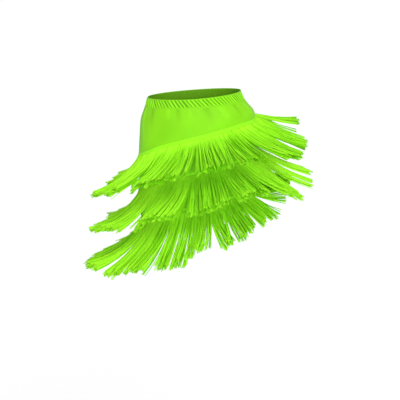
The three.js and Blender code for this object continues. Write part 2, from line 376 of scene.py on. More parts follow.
def new_object(name, points, quads, triangles=(), attributes=None, uv=None):
    """A mesh object from points in millimetres, smooth quads and flat triangles that close ends."""
    quads = np.asarray(quads, np.int32).reshape(-1, 4)
    triangles = np.asarray(triangles, np.int32).reshape(-1, 3)
    mesh = bpy.data.meshes.new(name)
    mesh.vertices.add(len(points))
    mesh.vertices.foreach_set("co", (np.asarray(points, float) * MM).astype(np.float32).ravel())
    corners = np.concatenate((quads.ravel(), triangles.ravel()))
    sizes = np.concatenate((np.full(len(quads), 4), np.full(len(triangles), 3)))
    starts = np.concatenate(([0], np.cumsum(sizes)[:-1]))
    mesh.loops.add(len(corners))
    mesh.loops.foreach_set("vertex_index", corners.astype(np.int32))
    mesh.polygons.add(len(sizes))
    mesh.polygons.foreach_set("loop_start", starts.astype(np.int32))
    mesh.polygons.foreach_set("use_smooth", sizes == 4)
    mesh.update(calc_edges=True)
    for key, values in (attributes or {}).items():
        mesh.attributes.new(key, "FLOAT", "POINT").data.foreach_set("value", values.astype(np.float32))
    if uv is not None:
        layer = mesh.uv_layers.new(name="cloth")
        layer.uv.foreach_set("vector", uv[corners].astype(np.float32).ravel())
    mesh.validate()
    obj = bpy.data.objects.new(name, mesh)
    bpy.context.scene.collection.objects.link(obj)
    return obj


def grid_faces(rows, columns, wrap_rows, wrap_columns, first=0):
    """Quads of a grid whose points run along each row."""
    row = np.arange(rows if wrap_rows else rows - 1)[:, None]
    column = np.arange(columns if wrap_columns else columns - 1)[None, :]
    start, next_start = row * columns, (row + 1) % rows * columns
    next_column = (column + 1) % columns
    faces = (start + column, start + next_column, next_start + next_column, next_start + column)
    return first + np.stack(faces, -1).reshape(-1, 4)


# Materials


class Nodes:
    """Short calls for building one material's nodes."""

    def __init__(self, name):
        self.material = bpy.data.materials.new(name)
        self.material.use_nodes = True
        self.tree = self.material.node_tree
        self.shader = self.tree.nodes["Principled BSDF"]

    def add(self, kind, settings=None, **inputs):
        node = self.tree.nodes.new(kind)
        for key, value in (settings or {}).items():
            setattr(node, key, value)
        self.set(node, **inputs)
        return node

    def set(self, node, **inputs):
        """Feed inputs, each named with _ for a space."""
        for key, value in inputs.items():
            self.feed(node.inputs[key.replace("_", " ")], value)

    def feed(self, socket, value):
        if isinstance(value, bpy.types.NodeSocket):
            self.tree.links.new(value, socket)
        else:
            socket.default_value = value

    def maths(self, operation, a, b=0.0):
        node = self.tree.nodes.new("ShaderNodeMath")
        node.operation = operation
        self.feed(node.inputs[0], a)
        self.feed(node.inputs[1], b)
        return node.outputs[0]

    def line(self, value, slope, start):
        """A value times a slope, plus a start."""
        return self.maths("ADD", self.maths("MULTIPLY", value, slope), start)

    def blend(self, a, b, share):
        """The mean of two values, weighted by the share of the first."""
        return self.maths("ADD", self.maths("MULTIPLY", a, share), self.maths("MULTIPLY", b, 1 - share))

    def waves(self, way, pitch):
        """Even waves from -1 to 1 along a way in metres, with a pitch in millimetres."""
        return self.maths("SINE", self.maths("MULTIPLY", way, FULL_TURN / (pitch * MM)))

    def attribute(self, name):
        return self.add("ShaderNodeAttribute", {"attribute_name": name}).outputs["Fac"]

    def noise(self, **inputs):
        place = self.add("ShaderNodeTexCoord").outputs["Object"]
        return self.add("ShaderNodeTexNoise", Vector=place, **inputs).outputs["Fac"]

    def uv_parts(self):
        cloth = self.add("ShaderNodeUVMap", {"uv_map": "cloth"}).outputs[0]
        parts = self.add("ShaderNodeSeparateXYZ", Vector=cloth)
        return parts.outputs[0], parts.outputs[1]

    def mix(self, share, a, b):
        """A colour from a to b."""
        node = self.tree.nodes.new("ShaderNodeMix")
        node.data_type = "RGBA"
        self.feed(node.inputs["Factor"], share)
        self.feed(node.inputs["A"], a)
        self.feed(node.inputs["B"], b)
        return node.outputs["Result"]

    def shade(self, colour, light):
        """A colour times a light from dark at 0 to full at 1."""
        node = self.add("ShaderNodeVectorMath", {"operation": "SCALE"}, Vector=colour, Scale=light)
        return node.outputs[0]

    def bump(self, height, strength, depth):
        """Small relief from a height, with its depth in millimetres."""
        node = self.add("ShaderNodeBump", Height=height, Strength=strength, Distance=depth * MM)
        self.set(self.shader, Normal=node.outputs[0])


def linear(red, green, blue):
    """A colour given as it looks on a screen, 0 to 255, by the sRGB curve."""

    def straight(c):
        return c / 12.92 if c <= 0.04045 else ((c + 0.055) / 1.055) ** 2.4

    return (*[straight(c / 255) for c in (red, green, blue)], 1.0)


# Knit: pitch of its stitches across and along, how much its tone varies over wide patches against
# fluff, how dark stitches are, the painted shade of folds, and how high the fluff stands against the stitches
KNIT_WALE = 1.1
KNIT_COURSE = 0.9
KNIT_PATCHES = 0.75
KNIT_STITCH_SHADE = 0.05
KNIT_FOLD_SHADE = 0.75
KNIT_FLUFF_HEIGHT = 0.8


def knit_material(name, bright, dim, bump=0.35):
    """Fine stretch knit: wales and courses of small stitches, with a soft satin sheen."""
    nodes = Nodes(name)
    u, v = nodes.uv_parts()
    wale = nodes.waves(u, KNIT_WALE)
    stitch = nodes.blend(wale, nodes.maths("MULTIPLY", wale, nodes.waves(v, KNIT_COURSE)), 0.5)
    patches = nodes.noise(Scale=22.0, Detail=3.0, Roughness=0.55)
    fluff = nodes.noise(Scale=420.0, Detail=2.0)
    colour = nodes.mix(nodes.blend(patches, fluff, KNIT_PATCHES), dim, bright)
    # Painted shade: this attribute darkens creases, gather troughs and the band's inner face
    fold_light = nodes.line(nodes.attribute("painted_fold_shade"), KNIT_FOLD_SHADE, 1 - KNIT_FOLD_SHADE)
    colour = nodes.shade(colour, nodes.line(stitch, KNIT_STITCH_SHADE, fold_light))
    nodes.set(nodes.shader, Base_Color=colour, Roughness=0.6, Specular_IOR_Level=0.15)
    nodes.set(nodes.shader, Sheen_Weight=0.05, Sheen_Roughness=0.4)
    nodes.bump(nodes.line(fluff, KNIT_FLUFF_HEIGHT, stitch), strength=bump, depth=0.2)
    return nodes.material


# Chainette: pitch of its loops, how far they lean, how dark the loops are, the painted shade at the cut
# ends, and how much of the tone belongs to single strands against wide patches
CHAIN_PITCH = 1.6
CHAIN_LEAN = 9.0
CHAIN_LOOP_SHADE = 0.06
CHAIN_END_PAINTED_SHADE = 0.25
CHAIN_STRAND_TONE = 0.85


def chainette_material(name, bright, dim):
    """Silky chainette cord: small loops, each strand lighter or darker at random, with painted light and
    shade.
    """
    nodes = Nodes(name)
    u, v = nodes.uv_parts()
    lean = nodes.maths("MULTIPLY", nodes.maths("ABSOLUTE", nodes.maths("SUBTRACT", u, 0.5)), CHAIN_LEAN)
    loop = nodes.maths("SINE", nodes.line(v, FULL_TURN / (CHAIN_PITCH * MM), lean))
    tone_and_painted_light = nodes.blend(nodes.attribute("tone_and_painted_light"), nodes.noise(Scale=14.0, Detail=2.0), CHAIN_STRAND_TONE)
    # Painted shade at the strands' cut ends
    end_light = nodes.line(nodes.attribute("end_painted_shade"), -CHAIN_END_PAINTED_SHADE, 1.0)
    colour = nodes.shade(nodes.mix(tone_and_painted_light, dim, bright), nodes.line(loop, CHAIN_LOOP_SHADE, end_light))
    nodes.set(nodes.shader, Base_Color=colour, Roughness=0.45, Specular_IOR_Level=0.1)
    nodes.bump(loop, strength=0.5, depth=0.2)
    return nodes.material


# Tape: pitch of its ribs and threads, the ribs' share of its relief, and how dark both are
TAPE_RIB = 1.4
TAPE_THREAD = 0.8
TAPE_RIB_SHARE = 0.7
TAPE_WEAVE_SHADE = 0.05
TAPE_LIGHT = 0.96


def tape_material(name, bright, dim):
    """Woven header tape: fine upright ribs crossed by close threads."""
    nodes = Nodes(name)
    u, v = nodes.uv_parts()
    weave = nodes.blend(nodes.waves(u, TAPE_RIB), nodes.waves(v, TAPE_THREAD), TAPE_RIB_SHARE)
    colour = nodes.mix(nodes.noise(Scale=60.0, Detail=3.0), dim, bright)
    colour = nodes.shade(colour, nodes.line(weave, TAPE_WEAVE_SHADE, TAPE_LIGHT))
    nodes.set(nodes.shader, Base_Color=colour, Roughness=0.6, Specular_IOR_Level=0.15)
    nodes.bump(weave, strength=0.4, depth=0.3)
    return nodes.material


def thread_material(name, bright, dim):
    """Twisted sewing thread."""
    nodes = Nodes(name)
    twist = nodes.noise(Scale=900.0, Detail=2.0)
    nodes.set(nodes.shader, Base_Color=nodes.mix(twist, dim, bright), Roughness=0.4)
    nodes.bump(twist, strength=0.4, depth=0.2)
    return nodes.material


KNIT = knit_material("knit_neon_lime", linear(127, 205, 12), linear(117, 193, 9))
KNIT_BAND = knit_material("knit_gathered_band", linear(148, 237, 20), linear(134, 223, 14), 0.45)
# The panels' inner faces: the knit's duller reverse side, darkened much further with painted shade
KNIT_INSIDE_PAINTED_SHADE = knit_material("knit_reverse_side_painted_shade", linear(56, 118, 2), linear(45, 100, 1))
CHAINETTE = chainette_material("chainette_neon_lime", linear(176, 255, 48), linear(116, 208, 2))
TAPE = tape_material("header_tape_neon_lime", linear(144, 232, 20), linear(134, 220, 14))
THREAD = thread_material("sewing_thread_lime", linear(138, 224, 20), linear(118, 202, 14))


# Waistband

# Gathers: how unevenly they are placed and sized, their share of full height at both edges, and the
# way from each edge over which they grow
GATHER_SHIFT = 0.22
GATHER_UNEVEN = 0.22
GATHER_AT_RIM = 0.12
GATHER_AT_LOW_EDGE = 0.22
RIM_FADE = (1.2, 5.0)
LOW_FADE = 5.5
LOW_FADE_UNEVEN = 3.0
LOW_FADE_WAVES = (11, 4.7)
LOW_SINK_WIDTH = 5

# Fine gathers between them
FINE_GATHERS = 211
FINE_GATHER_HEIGHT = 0.2
FINE_GATHER_DRIFT = 1.3
FINE_GATHER_DRIFTS = 17
FINE_RIM_FADE = 3

# The ring of cloth: its mesh, the radius of its rolled edges, its smoother inner face, and how much
# of the folds' painted shade its faces take, with the inner face painted dark all over as shade
COLUMNS_A_GATHER = 13
BAND_COLUMNS = GATHERS * COLUMNS_A_GATHER
BAND_ROWS = 20
BAND_ROLL = 1.1
LOW_ROLL_STEPS = 4
RIM_ROLL_STEPS = 5
INSIDE_SINK = 0.6
INSIDE_GATHER = 0.12
INSIDE_SHADE = -0.78
INSIDE_FOLD_SHARE = 0.08
RIM_FOLD_SHARE = 0.3
FOLD_CURVE = 0.9


def gather_depth(turn):
    """Height of the gathers' ridges at an angle round the band, from -1 in a trough to 1 on a crest."""
    count = 2 * GATHERS
    order = np.arange(count)
    at = FULL_TURN * (order + GATHER_SHIFT * uneven(order, 1)) / count
    side = np.where(order % 2 == 0, 1.0, -1.0)
    size = side * (1 - GATHER_UNEVEN + GATHER_UNEVEN * uneven(order, 2))
    at, size = wrap_round(at, 2, FULL_TURN), wrap_round(size, 2)
    turn = np.mod(turn, FULL_TURN)
    i = np.clip(np.searchsorted(at, turn, side="right") - 1, 0, len(at) - 2)
    u = (turn - at[i]) / (at[i + 1] - at[i])
    share = 0.5 - 0.5 * np.cos(math.pi * np.clip(u, 0, 1))
    return size[i] * (1 - share) + size[i + 1] * share


def band_relief(turn, height):
    """Slanting gathers of the band's outer face: how far they stand out, and their share of full height."""
    upright = turn + GATHER_SLANT / WAIST_RADIUS * height / BAND_HEIGHT
    below_rim = BAND_HEIGHT / 2 - height
    above_low_edge = BAND_HEIGHT / 2 + height
    quick, slow = LOW_FADE_WAVES
    low_fade = LOW_FADE + LOW_FADE_UNEVEN * np.sin(quick * upright) * np.sin(slow * upright)
    grown = between(GATHER_AT_RIM, 1, soft_step(*RIM_FADE, below_rim))
    grown = grown * between(GATHER_AT_LOW_EDGE, 1, soft_step(0, low_fade, above_low_edge))
    drift = FINE_GATHER_DRIFT * np.sin(upright * FINE_GATHER_DRIFTS)
    fine = FINE_GATHER_HEIGHT * np.sin(upright * FINE_GATHERS + drift)
    fine = fine * soft_step(0, FINE_RIM_FADE, below_rim)
    share = grown * gather_depth(upright)
    sunk = GATHER_DEPTH / 2 * soft_step(0, LOW_SINK_WIDTH, above_low_edge)
    return GATHER_DEPTH / 2 * share + grown * fine - sunk, share


def waistband():
    """The casing as a closed ring: outer face, rolled lower edge, inner face and rolled rim."""
    turn = turns_round(BAND_COLUMNS)
    top = BAND_HEIGHT / 2 - BAND_ROLL
    heights, outs, folds = [], [], []

    # Each row also takes its painted shade: darker in the gathers' troughs and over the inner face
    def row(height, out, painted_fold_shade):
        heights.append(height)
        outs.append(out)
        folds.append(np.clip(0.5 + 0.5 * painted_fold_shade, 0, 1) ** FOLD_CURVE)

    def roll(start, end, height, bulge, steps, painted_fold_shade):
        """Rows of a rounded edge, from how far out it starts to how far out it ends."""
        for k in range(1, steps):
            angle = math.pi * k / steps
            out = (start + end) / 2 + (start - end) / 2 * math.cos(angle)
            row(height + bulge * math.sin(angle), out, painted_fold_shade)

    for height in np.linspace(top, -top, BAND_ROWS + 1):
        out, share = band_relief(turn, height)
        row(height, out, share)
    roll(outs[-1], -BAND_WALL, -top, -BAND_ROLL, LOW_ROLL_STEPS, share)
    for height in np.linspace(-top, top, BAND_ROWS // 2 + 1):
        share = band_relief(turn, height)[1]
        out = INSIDE_GATHER * GATHER_DEPTH * share - BAND_WALL - INSIDE_SINK
        row(height, out, INSIDE_FOLD_SHARE * share + INSIDE_SHADE)
    roll(outs[-1], outs[0], top, BAND_ROLL, RIM_ROLL_STEPS, RIM_FOLD_SHARE * share)

    rim, low_edge = band_edge(turn, 1), band_edge(turn, -1)
    points, uv = [], []
    for height, out in zip(heights, outs):
        z = between(low_edge, rim, height / BAND_HEIGHT + 0.5)
        points.append(body_point(turn, z, out))
        uv.append(np.stack((turn * WAIST_RADIUS * MM, np.full(BAND_COLUMNS, height * MM)), -1))
    faces = grid_faces(len(points), BAND_COLUMNS, True, True)[:, ::-1]
    obj = new_object("waistband_gathered", np.concatenate(points), faces, uv=np.concatenate(uv),
                     attributes={"painted_fold_shade": np.concatenate(folds)})
    obj.data.materials.append(KNIT_BAND)
    return obj


# Panels

# Creases: millimetres for each unit of depth in the table, and slant in degrees for each millimetre
# down. A pair is the two ways down from the band between which a form grows or fades.
CREASE_SCALE = 1.9
CREASE_SLANT = 0.06
CREASE_START = (-2, 6)

# Small puckers under the band, the tuck that carries the cloth in behind it, and the way above the
# top trim over which all relief fades
PUCKER_HEIGHT = 0.8
PUCKER_REACH = 8.0
PUCKER_START = (-1, 1.5)
TUCK_DEPTH = 1.5
TUCK_END = (-2.5, 0.6)
TRIM_CALM = 16

# Slight waves of the cloth: height, number round the body, where they start and how they run down
WAVE_HEIGHT = 0.5
WAVES_ROUND = 7
WAVE_PHASE = 0.8
WAVE_DROP = 31.0
WAVE_LEAN = 3
WAVE_START = (10, 40)

# Mesh of a panel, with rows closer together near the band, and its reach up behind the band
PANEL_COLUMNS = 170
PANEL_ROWS = 76
PANEL_ROW_SPREAD = 1.6
PANEL_TUCK = 3.0

# Side seams: the body's radius there, and depth and width of the edges that roll in
SEAM_RADIUS = 104.0
SEAM_ROLL = 0.55
SEAM_ROLL_WIDTH = 2.4

# The inner face's share of the relief, and the cloth's painted light and shade: where it is flat, and
# for each millimetre that it stands out, so ridges are painted lighter and creases darker
INSIDE_RELIEF = 0.8
FLAT_CLOTH_PAINTED_LIGHT = 0.9
RELIEF_PAINTED_LIGHT = 0.16


def cloth_relief(turn, z):
    """Soft creases, small puckers under the band and slight waves of the cloth, level at the trims."""
    below = band_edge(turn, -1) - z
    relief = np.zeros(z.shape)
    for at, width, reach, depth in zip(*CREASES.values()):
        away = (np.mod(np.degrees(turn) - at - CREASE_SLANT * below + 180, 360) - 180) / width
        crease = CREASE_SCALE * depth * np.exp(-(away**2)) * np.exp(-((below / reach) ** 2))
        relief += crease * soft_step(*CREASE_START, below)
    upright = turn - GATHER_SLANT / WAIST_RADIUS * (0.5 + below / BAND_HEIGHT)
    pucker = PUCKER_HEIGHT * gather_depth(upright) * np.exp(-np.maximum(below, 0) / PUCKER_REACH)
    relief += pucker * soft_step(*PUCKER_START, below)
    wave = np.sin(turn * WAVES_ROUND + WAVE_PHASE) * np.sin(below / WAVE_DROP + turn * WAVE_LEAN)
    relief += WAVE_HEIGHT * wave * soft_step(*WAVE_START, below)
    tuck = -TUCK_DEPTH * (1 - soft_step(*TUCK_END, below))
    return relief * soft_step(0, TRIM_CALM, z - trim_height(turn, 0, 0)) + tuck


def panel(name, start):
    """Half of the tube between the side seams, a thin closed shell whose edges roll in at the seams."""
    share = np.linspace(0, 1, PANEL_COLUMNS)
    turn = start + math.pi * share + SEAM_GAP / 2 / SEAM_RADIUS * (1 - 2 * share)
    top = band_edge(turn, -1) + PANEL_TUCK
    hem = trim_height(turn, TIERS - 1, TAPE_HEIGHT)
    down = np.linspace(0, 1, PANEL_ROWS) ** PANEL_ROW_SPREAD
    z = between(top[None, :], hem[None, :], down[:, None])
    turns = np.broadcast_to(turn, z.shape)
    from_seam = np.minimum(share, 1 - share) * math.pi * SEAM_RADIUS
    rolled = SEAM_ROLL * (1 - soft_step(0, SEAM_ROLL_WIDTH, from_seam))
    folds = cloth_relief(turns, z)
    relief = folds - rolled[None, :]
    outer = body_point(turns, z, relief)
    inner = body_point(turns, z, relief * INSIDE_RELIEF - CLOTH_WALL)
    girth = lengths_along(outer[PANEL_ROWS // 2])
    uv = np.stack((np.broadcast_to(girth * MM, z.shape), z * MM), -1).reshape(-1, 2)
    count = PANEL_ROWS * PANEL_COLUMNS
    outside = grid_faces(PANEL_ROWS, PANEL_COLUMNS, False, False)[:, ::-1]
    inside = grid_faces(PANEL_ROWS, PANEL_COLUMNS, False, False, count)
    index = np.arange(count).reshape(PANEL_ROWS, PANEL_COLUMNS)
    rim = np.concatenate((index[0, :], index[1:, -1], index[-1, -2::-1], index[-2:0:-1, 0]))
    after = np.roll(rim, -1)
    edges = np.stack((rim, after, after + count, rim + count), -1)
    points = np.concatenate((outer.reshape(-1, 3), inner.reshape(-1, 3)))
    # Painted light and shade from the relief: lighter where the cloth stands out, darker in the creases
    light = np.clip(FLAT_CLOTH_PAINTED_LIGHT + RELIEF_PAINTED_LIGHT * folds, 0, 1).ravel()
    faces = np.concatenate((outside, inside, edges))
    obj = new_object(name, points, faces, attributes={"painted_fold_shade": np.tile(light, 2)}, uv=np.concatenate((uv, uv)))
    obj.data.materials.append(KNIT)
    # The inner faces take the material with painted shade
    obj.data.materials.append(KNIT_INSIDE_PAINTED_SHADE)
    slots = np.zeros(len(obj.data.polygons), np.int32)
    slots[len(outside):len(outside) + len(inside)] = 1
    obj.data.polygons.foreach_set("material_index", slots)
    return obj


# Header tapes

# Outline of a tape's section: way below its upper edge and way out from the cloth
TAPE_SECTION = (
    (0, -0.2),
    (1.6, 0.25),
    (4, 0.8),
    (6.5, 1.2),
    (9, 1.45),
    (11, 1.6),
    (12.4, 1.4),
    (13, 0.9),
    (12.8, 0.4),
    (6, -0.3),
)

# Mesh of a tape, the radius that spaces its ribs, and slight ripples of its raised face in groups
TAPE_COLUMNS = 360
TAPE_RADIUS = 140
RIPPLE_HEIGHT = 0.18
RIPPLE_FACE = 0.6
RIPPLES = 61
RIPPLE_GROUPS = 13


def tape(tier):
    """Header tape: a flat woven strip with rounded edges, sewn on over the cloth."""
    turn = turns_round(TAPE_COLUMNS)
    points, uv = [], []
    for k, (below, out) in enumerate(TAPE_SECTION):
        if out > RIPPLE_FACE:
            out = out + RIPPLE_HEIGHT * np.sin(turn * RIPPLES + k) * np.sin(turn * RIPPLE_GROUPS)
        points.append(body_point(turn, trim_height(turn, tier, below), out))
        uv.append(np.stack((turn * TAPE_RADIUS * MM, np.full(TAPE_COLUMNS, below * MM)), -1))
    faces = grid_faces(len(points), TAPE_COLUMNS, True, True)[:, ::-1]
    obj = new_object(f"fringe_{tier + 1}_tape", np.concatenate(points), faces, uv=np.concatenate(uv))
    obj.data.materials.append(TAPE)
    return obj


# Stitching

# A stitch: its sizes, its mesh, how thin its ends are, and how far it stands out and dips in
STITCH_LENGTH = 2.5
STITCH_PITCH = 3.3
STITCH_RADIUS = 0.28
STITCH_POINTS = 5
STITCH_SIDES = 5
STITCH_END = 0.45
STITCH_ARCH = 0.3
STITCH_DIP = 0.12

# Rows of stitches on a tape, each with its way below the upper edge and its way out, and the row on
# the band, above its lower edge
TAPE_STITCH_ROWS = ((2.6, 0.5), (9.5, 1.6))
TAPE_STITCH_STEPS = 720
BAND_STITCH_RISE = 2.4
BAND_STITCH_OUT = 0.1


def along_line(line, lengths, at):
    """Points at lengths along a closed line."""
    line = np.concatenate((line, line[:1]))
    return np.stack([np.interp(at, lengths, line[:, k]) for k in range(3)], -1)


def stitch_row(line, outward):
    """Points and faces of the stitches along a closed line: each a short thread that dips in at its ends."""
    lengths = lengths_along(np.concatenate((line, line[:1])))
    count = int(lengths[-1] / STITCH_PITCH)
    along = np.linspace(-0.5, 0.5, STITCH_POINTS)
    at = (np.arange(count)[:, None] + 0.5) * lengths[-1] / count + along[None, :] * STITCH_LENGTH
    out = unit(along_line(outward, lengths, at))
    centre = along_line(line, lengths, at)
    way = unit(np.gradient(centre, axis=1))
    side = np.cross(way, out)
    arch = np.cos(math.pi * along) ** 0.5
    radius = STITCH_RADIUS * between(STITCH_END, 1, arch)
    centre = centre + out * (STITCH_ARCH * arch - STITCH_DIP)[None, :, None]
    points = ring_points(centre, radius[None, :, None], side, out, STITCH_SIDES)
    first = (np.arange(count) * STITCH_POINTS * STITCH_SIDES)[:, None, None]
    faces = (grid_faces(STITCH_POINTS, STITCH_SIDES, False, True)[None] + first).reshape(-1, 4)
    fan = np.array([[0, k + 1, k] for k in range(1, STITCH_SIDES - 1)])
    caps = np.concatenate((fan, (STITCH_POINTS - 1) * STITCH_SIDES + fan[:, ::-1]))
    return points.reshape(-1, 3), faces, (caps[None] + first).reshape(-1, 3)


def ring_points(centre, radius, across, out, sides, offset=0.0):
    """Points of a small ring round each point of a thread, the first one turned by a share of a side."""
    angles = [FULL_TURN * (k + offset) / sides for k in range(sides)]
    rings = [centre + radius * (math.cos(angle) * across + math.sin(angle) * out) for angle in angles]
    return np.stack(rings, 2)


def stitching(name, lines):
    points, faces, caps, first = [], [], [], 0
    for line, outward in lines:
        row_points, row_faces, row_caps = stitch_row(line, outward)
        points.append(row_points)
        faces.append(row_faces + first)
        caps.append(row_caps + first)
        first += len(row_points)
    obj = new_object(name, np.concatenate(points), np.concatenate(faces), np.concatenate(caps))
    obj.data.materials.append(THREAD)
    return obj


def surface_line(turn, z, out):
    """Points of a line on the cloth, with the directions that point straight out there."""
    angle = out_angle(turn, z)
    return body_point(turn, z, out), np.stack((np.cos(angle), np.sin(angle), np.zeros_like(angle)), -1)


def tape_stitching(tier):
    turn = turns_round(TAPE_STITCH_STEPS)
    lines = [surface_line(turn, trim_height(turn, tier, below), out) for below, out in TAPE_STITCH_ROWS]
    return stitching(f"fringe_{tier + 1}_stitching", lines)


def band_stitching():
    turn = turns_round(BAND_COLUMNS * 2)
    z = band_edge(turn, -1) + BAND_STITCH_RISE
    out = band_relief(turn, -BAND_HEIGHT / 2 + BAND_STITCH_RISE)[0] + BAND_STITCH_OUT
    return stitching("waistband_stitching", [surface_line(turn, z, out)])


# Fringe

# Points round a trim between which the strands are spaced
TRIM_STEPS = 1441

# How a strand leaves the tape: it turns out at the root, and more and more toward the tip. Here and
# below, a pair is the two shares of a strand's length between which something grows or fades.
FLARE_START = (-0.04, 0.05)
FLARE_CURVE = 0.7

# Unevenness of locks: least width, lift and turn aside in degrees, shortening as a share of the
# length, pull toward the lock's middle, curl in millimetres, the limit of the draws, and how much
# of them a group of locks shares
LOCK_LEAST_WIDTH = 0.45
LOCK_LIFT = 1.8
LOCK_ASIDE = 2.0
LOCK_SHORTER = 0.05
LOCK_PULL_UNEVEN = 0.3
LOCK_CURL = 1.5
LOCK_LIMIT = 1.6
GROUP_SHARE = 0.75
LOCK_OWN_SHARE = 0.6

# Unevenness of tufts and of single strands in them, in the same units
FIRST_SEED = 41
PLACE_UNEVEN = 0.45
TUFT_LIFT = 1.0
TUFT_ASIDE = 0.8
TUFT_LIMIT = 2
STRAND_OWN_SHARE = 0.35
LONGEST = 1.015
TUFT_SHORTER = 0.05
STRAND_SHORTER = 0.03

# Stray tufts stand off, and tufts that lie under the others hang lower, most at the front and back.
# Both are drawn less toward the lock's middle, and every pull eases at the tips.
STRAY_SHARE = 0.03
STRAY_LIFT = 4.0
STRAY_ASIDE = 5.0
UNDER_DROP = 1.0
UNDER_DROP_AHEAD = 6.0
UNDER_ASIDE = 1.2
LOOSE_PULL = 0.12
PULL_GROWS = (0.02, 0.6)
PULL_EASES = (0.6, 1)
PULL_EASED = 0.4

# Places of strands in the thickness and width of the fringe, in millimetres, and their waves
LAYER_OWN_SHARE = 0.4
LAYER_LIMIT = 2
LAYER_AT_ROOT = 0.3
LAYER_GROWS = 0.8
UNDER_SINK = 1.0
UPPER_RISE = 1.2
SPREAD_LIMIT = 1.7
SPREAD_AT_ROOT = 0.1
UNDER_SPREAD = 1.6
UPPER_SPREAD = 0.5
GROWN_AT = 0.4
CURL_REACH = 0.9
STRAND_WAVE = 0.5
STRAND_WAVES = 9

# Thickness of strands as a share of STRAND_RADIUS, and their lightness from 0 to 1, with painted shade
# on the strands underneath and painted light at the roots
TIP_THINNER = 0.08
LEAST_THICKNESS = 0.9
THICKNESS_UNEVEN = 0.2
UNDER_THICKER = 0.3
TONE = 0.78
LOCK_TONE = 0.14
LOCK_TONE_LIMIT = 1.5
TUFT_TONE = 0.36
# Painted shade on the strands that lie under the others, and painted light at the roots
UNDER_PAINTED_SHADE = 0.4
ROOT_PAINTED_LIGHT = 0.5
ROOT_PAINTED_LIGHT_ENDS = (0.02, 0.22)


def arc_turns(tier, shares):
    """Angles round the body at shares of the tape's length."""
    turn = np.linspace(0, FULL_TURN, TRIM_STEPS)
    lengths = lengths_along(body_point(turn, trim_height(turn, tier, TAPE_HEIGHT), 0))
    return np.interp(np.asarray(shares) * lengths[-1], lengths, turn)


def bunch_of(turn, tier):
    """Start, end, draw and lift of the bunch that each angle lies in, in degrees."""
    rows = PARTINGS[tier]
    at = wrap_round(rows["at"], 1, 360)
    i = np.clip(np.searchsorted(at, np.degrees(turn), side="right") - 1, 0, len(at) - 2)
    return at[i], at[i + 1], wrap_round(rows["draw"], 1)[i], wrap_round(rows["lift"], 1)[i]


def swing_path(tier, turn, lift, turn_aside, length_share):
    """Points of strands that leave the tape at these angles, as rows, and their headings."""
    degrees = np.degrees(turn)
    low, high, draw, raised = bunch_of(turn, tier)
    lean = np.radians((low + high) / 2 - degrees) * draw
    root = np.radians(around(SWINGS[tier], "root", degrees))
    tip = np.radians(around(SWINGS[tier], "tip", degrees) + lift + raised)
    side = np.radians(around(SWINGS[tier], "sweep", degrees) + turn_aside) + lean
    length = around(SWINGS[tier], "length", degrees) * length_share
    z = trim_height(turn, tier, TAPE_HEIGHT - ROOT_HEIGHT)
    straight_out = out_angle(turn, z)
    point = body_point(turn, z, SEAM_GAP + TAPE_WALL / 2)
    points, headings = [point], [straight_out]
    for start, end in zip(KNOTS, KNOTS[1:]):
        along = (start + end) / 2
        flare = between(root, tip, along**FLARE_CURVE) * soft_step(*FLARE_START, along)
        heading = straight_out + side * along
        run = length * (end - start)
        move = (np.sin(flare) * np.cos(heading), np.sin(flare) * np.sin(heading), -np.cos(flare))
        point = point + run[:, None] * np.stack(move, -1)
        points.append(point)
        headings.append(straight_out + side * end)
    return np.stack(points, 1), np.stack(headings, 1)


def lock_edges(tier, rng):
    """Angles where locks part: each bunch is cut into locks of uneven width."""
    at = PARTINGS[tier]["at"]
    edges = []
    for start, end in zip(np.radians(at), np.radians(np.concatenate((at[1:], at[:1] + 360)))):
        count = max(2, round(LOCKS * (end - start) / FULL_TURN))
        widths = LOCK_LEAST_WIDTH + rng.random(count)
        cuts = np.cumsum(widths) / widths.sum()
        edges.extend(np.mod(between(start, end, cuts), FULL_TURN))
    return np.sort(np.array(edges))


def frames_along(points, across):
    """Directions across and out from strands, square to the way along them."""
    way = unit(np.gradient(points, axis=1))
    across = unit(across - way * (across * way).sum(-1, keepdims=True))
    return across, np.cross(across, way)


